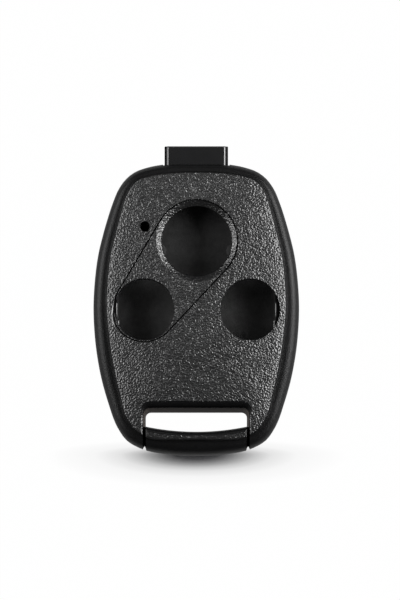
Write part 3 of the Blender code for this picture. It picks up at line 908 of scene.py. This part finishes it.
def filletTool():
    # rolls the face over into the slot, wide at the top and narrow down the legs
    half, top, corner = slot["halfWidth"], slot["top"], slot["corner"]
    back, over, brim = slot["filletReach"]
    start, end = [(Vector((side * half, slot["filletEnd"])), Vector((side, 0))) for side in (1, -1)]
    sections = []
    for place, way in [start, *upperCorners(half, top, corner), end]:
        size = slot["sideFillet"] + (slot["fillet"] - slot["sideFillet"]) * way.y ** 2
        arc = [(out, -down) for out, down in roundArc(size, 8)]
        profile = [(-back, over), (-back, -size), (0, -size), *arc, (size, 0), (size * brim, over)]
        sections.append([onDome(place + way * out, up) for out, up in profile])
    return swept("fillet_tool", sections, lambda middle: grained if middle.y < top - corner else smooth)


def ceilingBand(share):
    # one ring of the domed ceiling
    def height(x, y):
        return ceiling + head["faceRise"] * (1 - share * share)

    return (lambda angle: insetRadius(angle, cavityInset) * share), height, inner


def frontCavity():
    # room for the rear cover's lip, then the space inside up to the domed ceiling
    low = head["parting"] + head["seam"]
    lipTop = low + head["lipHeight"] + head["seam"]
    eaves = foot - head["wall"]
    aside, down, curve = head["insideBends"]
    bends = [
        (head["lipWall"], low - 1),
        (head["lipWall"], lipTop),
        (head["wall"], lipTop),
        (head["wall"], shoulder + down),
        (cavityInset - aside, eaves - down),
        (cavityInset, eaves),
        (cavityInset, ceiling - curve),
        (cavityInset + curve, ceiling),
    ]
    bands = [insetBand(inset, height, inner) for inset, height in bends]
    cavity = skin("front_cavity", bands + [ceilingBand(share) for share in head["ceilingRings"]])
    carve(cavity, roomBelow(liningHalfWidth, liningTop))
    return settle(cavity)


def addBoss(cover):
    # the boss that takes the cover screw
    low, edge = coverScrew["bossLow"], coverScrew["bossEdge"]
    top = faceHeight(0, screwY) - head["wall"] / 2
    place = (0, screwY, 0)
    outside = [(0, low), (bossRadius - edge, low), (bossRadius, low + edge), (bossRadius, top), (0, top)]
    unite(cover, turned("boss", outside, place, inner))
    carve(cover, cylinder("boss_bore", boreRadius, low - 1, top - head["wall"], place, inner))


def cutFace(cover):
    # the three button holes, the lamp hole with its collar, and the engraved line
    x, y, radius = faceHoles["topOut"], faceHoles["topUp"], faceHoles["topRadius"]
    carve(cover, holeTool("top_hole", x, y, radius), dishTool())
    y, radius = faceHoles["sideUp"], faceHoles["sideRadius"]
    for x, name in zip(faceHoles["sideOut"], ("left", "right")):
        hole = holeTool(name + "_hole", x, y, radius)
        carve(cover, hole, edgeTool(name + "_edge", x, y, radius, faceHoles["edge"]))
    x, y, radius = -faceHoles["lampOut"], faceHoles["lampUp"], faceHoles["lampRadius"]
    wall, low = faceHoles["lampCollar"]
    top = faceHeight(x, y) - head["wall"] / 2
    collar = cylinder("lamp_collar", radius + wall, low, top, (x, y, 0), inner, steps=32)
    edge = edgeTool("lamp_edge", x, y, radius, faceHoles["lampEdge"])
    unite(cover, collar)
    carve(cover, holeTool("lamp_hole", x, y, radius), edge, lipTool(), lineTool())


def makeFrontCover():
    low = head["parting"] + head["seam"]
    edge = head["seamEdge"]
    outer = [insetBand(edge, low, inner), insetBand(0, low + edge, smooth)]
    cover = skin("cover_front", outer + rimBands(smooth, head["edgeRound"], grained))
    carve(cover, frontCavity())
    addBoss(cover)
    below = [(-slot["halfWidth"], -head["length"]), (slot["halfWidth"], -head["length"])]
    opening = roundedTop(slot["halfWidth"], slot["top"], slot["corner"], below)
    carve(cover, prism("front_slot", opening, 0, overhead), filletTool())
    cutFace(cover)
    carve(cover, stubWindow("front_window", 0, stubTop + stub["gap"]))
    hand(settle(cover), "front_cover", "front_shell")


# Rear cover

rear = {
    "floorFillet": 1.6,
    "knee": 0.48,
    "kneeEnds": (1.9, 0.25),
    "cradle": 4.0,
    "cradleBack": 0.8,
    "cradleEdge": 0.12,
    "fence": 1.8,
    "fenceWall": 0.8,
    "fenceShare": 3.2,
    "fenceEdge": 0.1,
}


def barRoundTool():
    # rounds the upper edge of the bar, along its arc
    size = bar["edgeRound"]
    radius = bar["arc"]
    centre = Vector((0, bar["edge"] + radius, 0))
    top = faceEdge + bar["rise"]
    back, brim, up = bar["roundReach"]
    arc = [(out, -down) for out, down in roundArc(size, 6, 0, 6)]
    profile = [(-back, beyond), (-back, -size), *arc, (size * brim, up), (size * brim, beyond)]
    reach = math.asin((slot["halfWidth"] + 1) / radius)
    bm = bmesh.new()
    face = bm.faces.new([bm.verts.new((0, -radius - a, top + b)) for a, b in profile])
    bmesh.ops.transform(bm, matrix=Matrix.Rotation(-reach, 4, "Z"), verts=bm.verts)
    bmesh.ops.spin(bm, geom=[face], axis=(0, 0, 1), angle=2 * reach, steps=28)
    bmesh.ops.translate(bm, vec=centre, verts=bm.verts)
    dress(bm, smooth)
    return finishedBmesh("bar_round", bm)


def slotTool():
    # the opening at the back, leaning out to the front slot's edge above
    land = slot["draftLand"]
    narrow = (slot["backHalfWidth"], slot["backTop"], slot["backCorner"])
    broad = (slot["halfWidth"] - land, slot["top"] - land, slot["frontCorner"])
    levels = (-beyond, slot["draftLow"], head["parting"] - head["seam"], overhead)
    sections = []
    for level, outline in zip(levels, (narrow, narrow, broad, broad)):
        points = roundedTop(*outline, barEdgePoints(outline[0]))
        sections.append([(x, y, level) for x, y in points])

    # the slot's walls beyond the bar take the pale lining colour, painted light
    def index(middle):
        return smooth if middle.y < barEdge(middle.x) + slot["liningFrom"] else paintedLining

    return swept("back_slot", sections, index)


def barEndTool(side):
    # leans the upper end edge of the bar, down the grained strip
    width, depth = bar["endLean"]
    along, over, past = bar["endReach"]
    reach = slot["halfWidth"] - bar["slit"]
    start = barEdge(reach) + along
    steps = 8
    sections = []
    for k in range(steps + 1):
        y = start + (bar["leanEnd"] - start) * k / steps
        profile = [(-width, over), (-width, 0), (past, -depth * (1 + past / width)), (past, over)]
        section = [(side * (reach + out), y, faceHeight(reach, y) + up) for out, up in profile]
        sections.append(section)
    return swept("bar_end", sections, smooth)


def aboveRear():
    # all above the parting but the bar and the locating lip
    top = head["parting"] - head["seam"]
    slitEdge = slot["halfWidth"] - bar["slit"]
    below = [(slitEdge, -head["length"]), (-slitEdge, -head["length"])]
    barOutline = prism("bar_outline", barEdgePoints(slitEdge) + below, -beyond, overhead)
    inset = head["lipWall"] + stub["gap"]
    bands = [insetBand(inset, 0, inner), insetBand(inset, top + head["lipHeight"], inner)]
    lip = skin("lip_outline", bands)
    settle(carve(lip, roomBelow(liningHalfWidth + stub["gap"], liningTop + stub["gap"])))
    reach = head["length"]
    room = block("above", (-reach, -reach, top), (reach, reach, overhead), index=inner)
    return settle(carve(room, barOutline, lip))


def rearCavity():
    # space inside, its floor rounded up into the walls
    wall, fillet, knee = head["wall"], rear["floorFillet"], rear["knee"]
    flat, steep = [knee * share for share in rear["kneeEnds"]]
    bends = [
        (wall + fillet, wall),
        (wall + flat, wall + steep),
        (wall + knee, wall + knee),
        (wall + steep, wall + flat),
        (wall, wall + fillet),
        (wall, crown),
    ]
    cavity = skin("rear_cavity", [insetBand(inset, height, inner) for inset, height in bends])
    return settle(carve(cavity, roomBelow(liningHalfWidth, liningTop)))


def notchTool(side, name):
    # small notch at the foot of each slit
    width, depth = bar["notch"]
    x = side * (slot["halfWidth"] - bar["slit"] / 2)
    y = lowerOutline(x)
    low = y - 2
    points = [(x - width / 2, low), (x + width / 2, low), (x + width / 2, y)]
    aside, up = width * bar["notchTaper"][0], depth * bar["notchTaper"][1]
    points += [(x + aside, y + up), (x, y + depth), (x - aside, y + up), (x - width / 2, y)]
    return prism(name + "_notch", points, -beyond, overhead)


def addPillar(cover):
    # the pillar in which the cover screw's head is sunk
    wall, edge, chamfer = head["wall"], coverScrew["bossEdge"], coverScrew["boreEdge"]
    counterbore = coverScrew["headRadius"] + stub["gap"]
    radius = counterbore + coverScrew["pillarWall"]
    top = coverScrew["bossLow"] - stub["gap"]
    seat = coverScrew["sunk"] + coverScrew["headHeight"] + stub["gap"]
    place = (0, screwY, 0)
    outside = [(0, wall / 2), (radius, wall / 2), (radius, top - edge), (radius - edge, top), (0, top)]
    bore = [(0, -1), (counterbore + chamfer, -1), (counterbore + chamfer, 0), (counterbore, chamfer)]
    bore += [(counterbore, seat), (boreRadius, seat), (boreRadius, crown), (0, crown)]
    unite(cover, turned("pillar", outside, place, inner))
    carve(cover, turned("screw_hole", bore, place, inner))


def addRearFurniture(cover):
    # the cradle under the blade holder and the fences round the chip holder
    chipLow, chipHigh = nodeBox("chip_holder")
    gripBack = nodeBox("blade_holder")[0].y
    base, gap, wall = head["wall"] / 2, stub["gap"], rear["fenceWall"]
    half, top = rear["cradle"], head["wall"] + rear["fence"]
    low = (-half, gripBack + rear["cradleBack"], base)
    high = (half, gripBack + bladeHolder["grip"] - gap, stubLow - gap)
    cradle = block("cradle", low, high, index=inner, edge=rear["cradleEdge"])
    end, side, share = chipLow.x - gap, chipLow.y - gap, rear["fenceShare"]
    low, high = (end - wall, chipLow.y, base), (end, chipHigh.y, top)
    endFence = block("end_fence", low, high, index=inner, edge=rear["fenceEdge"])
    low, high = (chipLow.x + share, side - wall, base), (chipHigh.x - share, side, top)
    sideFence = block("side_fence", low, high, index=inner, edge=rear["fenceEdge"])
    unite(cover, cradle, endFence, sideFence)


def makeRearCover():
    sideways, upward = head["backRound"]
    bands = [insetBand(sideways * 1.6, 0, smooth), insetBand(sideways, 0, smooth)]
    for out, down in reversed(roundArc(1, 9)):
        bands.append(insetBand(sideways * out, upward * down, smooth))
    bands.append(insetBand(0, upward, smooth))
    cover = skin("cover_rear", bands + rimBands(smooth, bar["stepRound"], coarse))
    carve(cover, aboveRear(), rearCavity())
    carve(cover, slotTool(), barRoundTool(), barEndTool(-1), barEndTool(1))
    carve(cover, stubWindow("rear_window", stubLow - stub["gap"], crown))
    carve(cover, notchTool(-1, "left"), notchTool(1, "right"))
    addPillar(cover)
    addRearFurniture(cover)
    hand(settle(cover), "rear_cover", "rear_shell")


# Blade holder

bladeHolder = {
    "grip": 3.7,
    "flangeOverhang": 1.8,
    "flange": 1.3,
    "flangeEdge": 0.15,
    "slot": (4.5, 2.4),
    "mouth": 0.25,
    "backWall": 0.8,
    "ledge": 0.6,
    "sink": 0.2,
    "screwOut": 2.6,
    "screwRadius": 0.7,
}


def makeStubBar(half, back, end, finishes):
    # bar with a ledge along its sides and soft shoulders above it, drawn from the back to the end
    ledge, drop = stub["ledge"]
    outline = []
    for level, way in ((stubTop, 1), (stubLow, -1)):
        for side in (way, -way):
            corner = [(half, drop), (half - ledge, drop)]
            corner += [(half - ledge - out, down) for out, down in roundArc(stub["shoulder"], 8, 0, 8)]
            if side != way:
                corner.reverse()
            outline += [(side * x, level - way * fall) for x, fall in corner]
    bm = bmesh.new()
    face = bm.faces.new([bm.verts.new((x, back, z)) for x, z in outline])
    grown = bmesh.ops.extrude_face_region(bm, geom=[face])["geom"]
    far = [v for v in grown if isinstance(v, bmesh.types.BMVert)]
    bmesh.ops.translate(bm, vec=(0, end - back, 0), verts=far)
    ends = [e for e in bm.edges if abs(e.verts[0].co.y - e.verts[1].co.y) < 0.01]
    roundEdges(bm, ends, stub["edge"], 3)

    def index(middle):
        # the ledges are dull
        reach = abs(middle.z - head["parting"])
        return 1 if abs(stub["thickness"] / 2 - drop - reach) < 0.05 else 0

    dress(bm, index)
    return finishedBmesh("blade_stub", bm, finishes)


def makeBladeHolder():
    finishes = [glossStub, insidePlastic]
    gripBack = nodeBox("blade_holder")[0].y
    flangeBack = gripBack + bladeHolder["grip"]
    end = head["length"] / 2 + stub["reach"]
    middle = head["parting"]
    holder = makeStubBar(stub["halfWidth"], gripBack, end, finishes)
    half = stub["halfWidth"] + bladeHolder["flangeOverhang"]
    low = (-half, flangeBack, head["wall"] + rear["knee"] + stub["gap"])
    high = (half, flangeBack + bladeHolder["flange"], shoulder)
    flange = block("flange", low, high, finishes, 0, edge=bladeHolder["flangeEdge"])
    unite(holder, flange)

    half, height = bladeHolder["slot"]
    slotFloor, slotCeiling = middle - height / 2, middle + height / 2
    back = gripBack + bladeHolder["backWall"]
    front = flangeBack - stub["gap"]
    past, over = end + 2, stubTop + 2
    bladeSlot = block("blade_slot", (-half, back, slotFloor), (half, past, slotCeiling), finishes, 1)
    mouth = bladeHolder["mouth"]
    low = (-half - mouth, end - mouth, slotFloor - mouth)
    high = (half + mouth, past, slotCeiling + mouth)
    lead = block("slot_lead", low, high, finishes, 0, edge=mouth - 0.01, segments=1)
    ledge = half + bladeHolder["ledge"]
    low, high = (-ledge, back, slotCeiling - bladeHolder["sink"]), (ledge, front, over)
    pocket = block("clamp_pocket", low, high, finishes, 1)
    opening = block("clamp_opening", (-half, back, middle), (half, front, over), finishes, 1)
    carve(holder, bladeSlot, lead, pocket, opening)
    radius = bladeHolder["screwRadius"] + stub["gap"]
    for side, name in ((-1, "left"), (1, "right")):
        place = (side * bladeHolder["screwOut"], (back + flangeBack) / 2, 0)
        hole = cylinder(name + "_clamp_hole", radius, 0, middle, place, 1, 32, finishes)
        carve(holder, hole)
    hand(settle(holder), "blade_holder", "blade_unit")


# Tray under the buttons

tray = {
    "rail": 1.0,
    "floor": 6.4,
    "thickness": 1.2,
    "edge": 0.15,
    "edgeSoftness": 0.3,
    "railRound": 0.2,
    "floorCorner": 0.2,
    "backInset": 0.01,
    "padThickness": 0.45,
    "padDown": 1.76,
    "padUp": 1.5,
    "upperPadBack": 0.32,
    "upperPadLap": (0.2, 0.5),
    "padRound": 0.35,
    "floorPad": (3.45, 0.25),
    "floorPadSunk": 0.02,
    "postRadius": 1.32,
    "postOut": 6.87,
    "postUp": 10.87,
    "postHeight": 2.2,
    "postRound": 0.18,
    "postKnee": 0.05,
}
# the rails, walls and pad faces take the dark inside plastic, painted shade beside the lighter tray
# floor
polishedPad, paintedShadeRail = 1, 2


def traySolid(low, high, inside, finishes):
    # the rails and the floor between them, cut square at both ends
    edge, rail, corner = tray["edge"], tray["railRound"], tray["floorCorner"]
    soft = edge * tray["edgeSoftness"]
    inset = cavityInset + stub["gap"]
    bends = [
        (inset + edge, low.z),
        (inset, low.z + edge),
        (inset, high.z - edge),
        (inset + soft, high.z - soft),
        (inset + edge, high.z),
    ]
    body = skin("button_tray", [insetBand(*bend, paintedShadeRail) for bend in bends], finishes)
    span = block("tray_span", (-head["width"], low.y, 0), (head["width"], high.y, crown), finishes, 0)
    bands = [insetBand(inside + corner, tray["floor"], 0), insetBand(inside, tray["floor"] + corner, 0)]
    bands.append(insetBand(inside, high.z - rail, paintedShadeRail))
    for out, down in roundArc(rail, 6, 1, 6):
        bands.append(insetBand(inside - out, high.z - down, paintedShadeRail))
    bands.append(insetBand(inside - rail, high.z + 2, 0))
    upper = skin("tray_upper", bands, finishes)
    under = tray["floor"] - tray["thickness"]
    lower = skin("tray_lower", [insetBand(inside, 0, 0), insetBand(inside, under, 0)], finishes)
    shape("INTERSECT", body, [span])
    return carve(body, upper, lower)


def makeTray():
    finishes = [trayPlastic, polishedEdge, insidePlastic]
    low, high = nodeBox("remote_tray")
    inside = cavityInset + stub["gap"] + tray["rail"]
    body = traySolid(low, high, inside, finishes)
    # what stands on the floor starts inside its thickness
    footing = tray["floor"] - tray["thickness"] / 2
    back = low.y + tray["backInset"]
    down, up, thickness = -tray["padDown"], tray["padUp"], tray["padThickness"]
    innerEdge = headRadius(math.pi / 2) - inside - thickness
    outerEdge = innerEdge + thickness * 2
    recess = innerEdge + tray["upperPadBack"]
    past, lap = tray["upperPadLap"]
    radius, edge, knee = tray["postRadius"], tray["postRound"], tray["postKnee"]
    top = tray["floor"] + tray["postHeight"]
    profile = [(0, footing), (radius, footing), (radius, top - edge), (radius - knee, top - knee)]
    profile += [(radius - edge, top), (0, top)]
    for side, name in ((-1, "left"), (1, "right")):
        for part, near, far, start, end in (
            ("_pad", innerEdge, outerEdge, back, down),
            ("_upper_pad", recess, outerEdge + past, down - lap, up),
        ):
            xs = sorted((side * near, side * far))
            corners = (xs[0], start, footing), (xs[1], end, high.z)
            rounding = {"edge": tray["padRound"], "segments": 5, "edgeIndex": polishedPad}
            unite(body, block(name + part, *corners, finishes, paintedShadeRail, **rounding))
        place = (side * tray["postOut"], tray["postUp"], 0)
        unite(body, turned(name + "_post", profile, place, 0, 48, finishes=finishes))
    width, height = tray["floorPad"]
    sections = []
    for x, rise in ((innerEdge - width, -tray["floorPadSunk"]), (innerEdge + thickness / 2, height)):
        ridge = tray["floor"] + rise
        corners = ((back, footing), (down, footing), (down, ridge), (back, ridge))
        sections.append([(x, y, z) for y, z in corners])
    unite(body, swept("floor_pad", sections, 0, finishes))
    hand(settle(body), "remote_tray", "tray")


makeFrontCover()
makeRearCover()
makeBladeHolder()
makeTray()
for name, finish in (
    ("blade_clamp", pressedSteel),
    ("clamp_screw_left", platedSteel),
    ("clamp_screw_right", platedSteel),
    ("chip_holder", trayPlastic),
    ("cover_screw", platedSteel),
):
    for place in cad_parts[name].material_slots:
        place.material = finish


# Studio: white floor, soft light from the top and the sides, camera straight above

studio = {
    "pixel": 0.18493,
    "imageWidth": 400,
    "imageHeight": 600,
    "symmetryPixel": 196.3,
    "headCentrePixel": 309.8,
    "distance": 1200.0,
    "target": (0, 0, 0.006),
    "lamps": {
        "key": ((0, 0.42, 0.53), (0.42, 0.34), 0.30),
        "left_box": ((-0.56, 0.07, 0.26), (0.44, 0.38), 3.3),
        "right_box": ((0.54, 0.09, 0.26), (0.44, 0.38), 5.4),
    },
    "sky": 0.04,
    "floorPaintedShadeColours": ((0.05, 0.05, 0.055), (0.45, 0.45, 0.45)),
    "paintedShadeDistance": 0.010,
    "floorSize": 3.0,
    "floorDrop": 0.00005,
    "paintedContactShade": ((0.5, 0.0), (0.95, 1.0)),
    "mirrored": 0.2,
    # how far the painted shadow reaches from the bar's middle: aside, towards the viewer and under the
    # shell
    "paintedShadowReach": (28, 6, 3),
    "paintedShadowStops": [
        (0.0, 0.0), (0.02, 0.01), (0.06, 0.14), (0.10, 0.28),
        (0.15, 0.48), (0.25, 0.73), (0.45, 0.90), (1.0, 0.995),
    ],
}


def addLamp(name, place, size, power):
    light = bpy.data.lights.new(name, "AREA")
    light.shape = "RECTANGLE"
    light.size, light.size_y = size
    light.energy = power
    obj = placed(name, light)
    obj.location = place
    obj.rotation_euler = (Vector(studio["target"]) - Vector(place)).to_track_quat("-Z", "Y").to_euler()
    obj.visible_camera = False


def makeFloorFinish():
    # white floor: the camera sees it evenly white but for a painted shadow at the bar. There an
    # elliptical ramp lets the lamp-lit floor show, with the lamps' own shadow, and its colour is
    # darkened near the shell by ambient occlusion, painted contact shade
    finish = Finish("floor_white_painted_shadow", Roughness=0.9, Specular_IOR_Level=0.0)
    distance = {"Distance": studio["paintedShadeDistance"]}
    # painted contact shade: ambient occlusion darkens the floor's colour near the shell
    paintedContactShade = finish.add("ShaderNodeAmbientOcclusion", {"samples": 8}, distance, output="AO")
    paintedContactShade = finish.ramp(paintedContactShade, *studio["paintedContactShade"])
    finish.feed(Base_Color=finish.blend(paintedContactShade, *studio["floorPaintedShadeColours"]))
    across, along = finish.parts(finish.millimetres())
    aside, outward, inward = studio["paintedShadowReach"]
    below = (headCentre * 1000 - head["length"] / 2) - along
    sideways = across * (1 / aside)
    away = below.maths("MAXIMUM", below * (1 / outward), below * (-1 / inward))
    # painted shadow: the ramp fades the white out towards the bar's middle
    even = finish.ramp(sideways * sideways + away * away, *studio["paintedShadowStops"])
    seen = finish.add("ShaderNodeLightPath", output="Is Camera Ray")
    mirrored = finish.add("ShaderNodeLightPath", output="Is Glossy Ray")
    glow = finish.add("ShaderNodeEmission", None, {"Strength": 1.0})
    surface = Wire(finish, finish.shader.outputs[0])
    share = even * (seen + mirrored * studio["mirrored"])
    mix = finish.add("ShaderNodeMixShader", None, {0: share, 1: surface, 2: glow})
    finish.links.new(mix.socket, finish.nodes["Material Output"].inputs["Surface"])
    return finish.material


def makeSky():
    # white to the camera, a faint grey light to the shell
    world = bpy.data.worlds.new("studio")
    bpy.context.scene.world = world
    world.use_nodes = True
    nodes, links = world.node_tree.nodes, world.node_tree.links
    path = nodes.new("ShaderNodeLightPath")
    mix = nodes.new("ShaderNodeMix")
    mix.data_type = "RGBA"
    mix.inputs[6].default_value = (*[studio["sky"]] * 3, 1)
    mix.inputs[7].default_value = (1, 1, 1, 1)
    links.new(path.outputs["Is Camera Ray"], mix.inputs[0])
    links.new(mix.outputs[2], nodes["Background"].inputs["Color"])


def makeCamera():
    camera = bpy.data.cameras.new("camera")
    camera.sensor_width = 36
    camera.lens = camera.sensor_width * studio["distance"] / (studio["pixel"] * studio["imageHeight"])
    camera.clip_end = 10
    obj = placed("camera", camera)
    x = (studio["imageWidth"] / 2 - studio["symmetryPixel"]) * studio["pixel"]
    y = (studio["headCentrePixel"] - studio["imageHeight"] / 2) * studio["pixel"]
    obj.location = intoFrame @ Vector((x, y, head["parting"] + studio["distance"]))
    bpy.context.scene.camera = obj


def makeStudio():
    bm = bmesh.new()
    bmesh.ops.create_grid(bm, x_segments=1, y_segments=1, size=studio["floorSize"])
    floor = finishedBmesh("floor", bm, [makeFloorFinish()])
    floor.location.z = -studio["floorDrop"]
    for name, lamp in studio["lamps"].items():
        addLamp(name, *lamp)
    makeSky()
    makeCamera()


makeStudio()
bpy.context.scene.view_settings.view_transform = "Standard"
print("studio ready")
